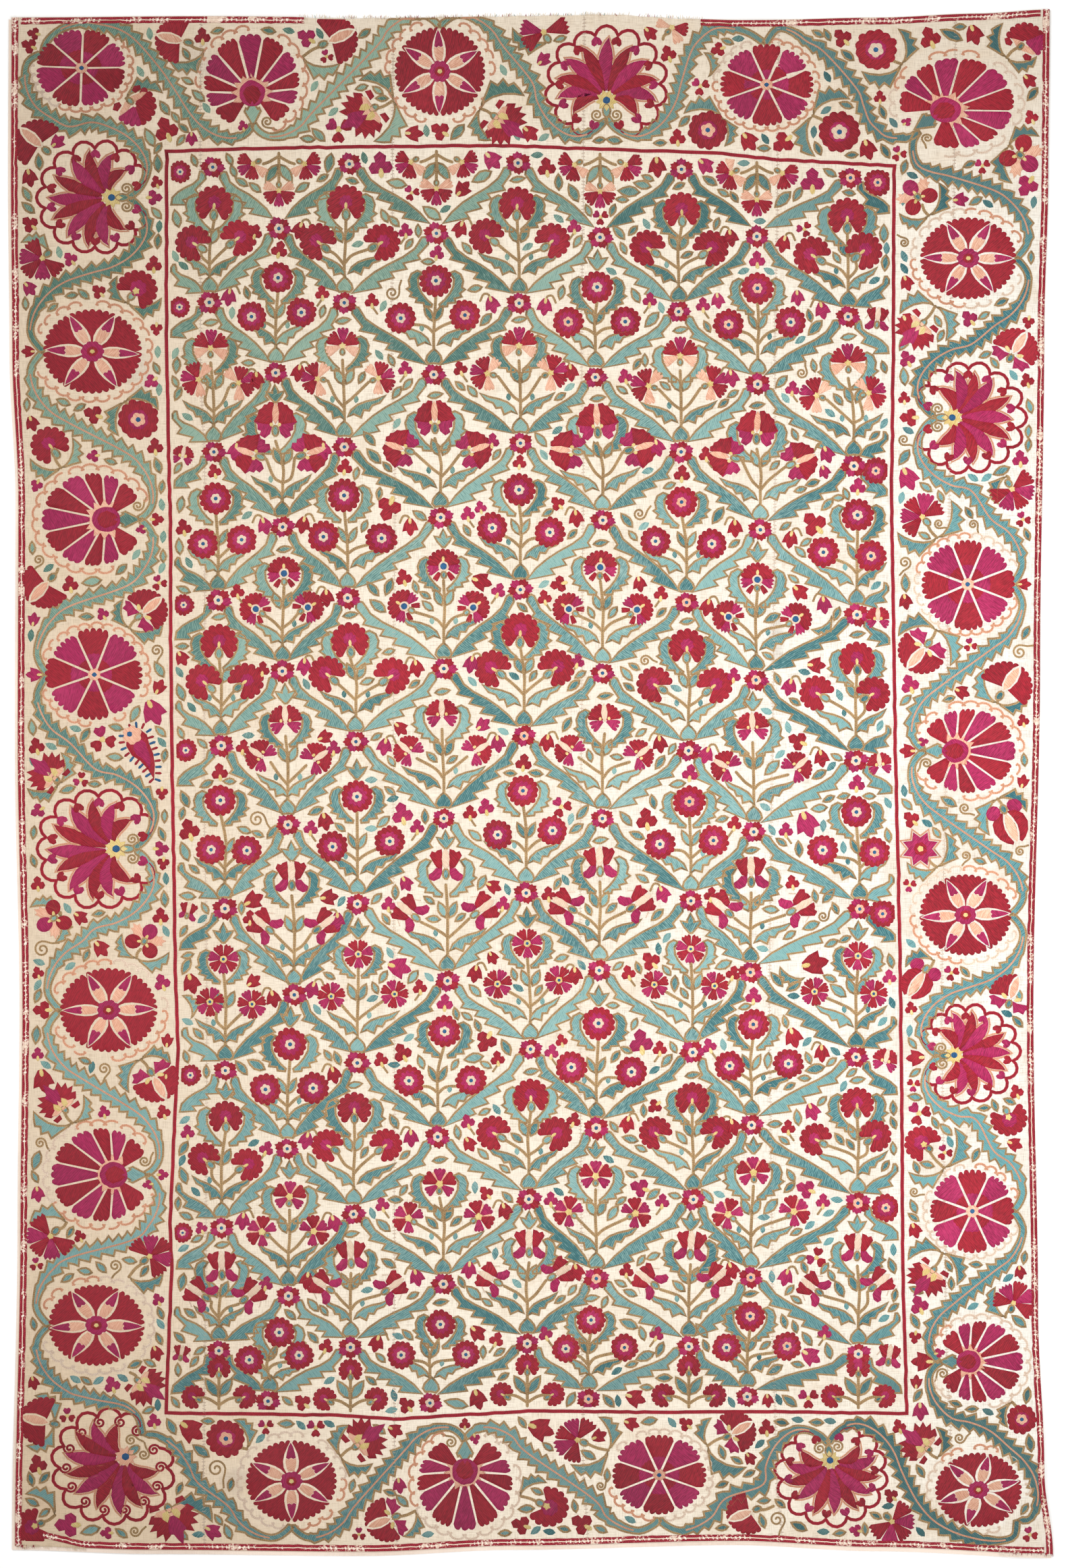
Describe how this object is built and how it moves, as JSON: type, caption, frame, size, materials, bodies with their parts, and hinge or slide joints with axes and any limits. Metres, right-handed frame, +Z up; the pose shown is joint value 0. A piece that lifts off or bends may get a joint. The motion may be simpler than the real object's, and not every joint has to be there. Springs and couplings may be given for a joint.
{
  "type": "embroidered textile",
  "caption": "Large embroidered cotton hanging with a flower trellis and a flower border, lying face up and flat, with a lining under it and a corded braid along its edges.",
  "frame": {"origin": "on the surface it lies on, under the middle of the cloth", "axes": "+Z up, away from the surface; +Y towards the cloth's top edge, along its length; +X across its width, to the right seen from above"},
  "size_m": [1.7039, 2.5245, 0.0105],
  "materials": {
    "ground_cloth": "matte hand-woven cotton, cream",
    "lining": "matte cotton, pale pinkish beige",
    "edge_braid": "two crimson silk cords on a narrow tape"
  },
  "bodies": {
    "root": {"lining": "lining", "strip_1": "ground_cloth", "strip_2": "ground_cloth", "strip_3": "ground_cloth", "strip_4": "ground_cloth", "strip_5": "ground_cloth", "strip_6": "ground_cloth", "braid_left": "edge_braid", "braid_right": "edge_braid", "braid_top_left": "edge_braid", "braid_top_right": "edge_braid", "braid_bottom": "edge_braid"}
  },
  "joints": []
}
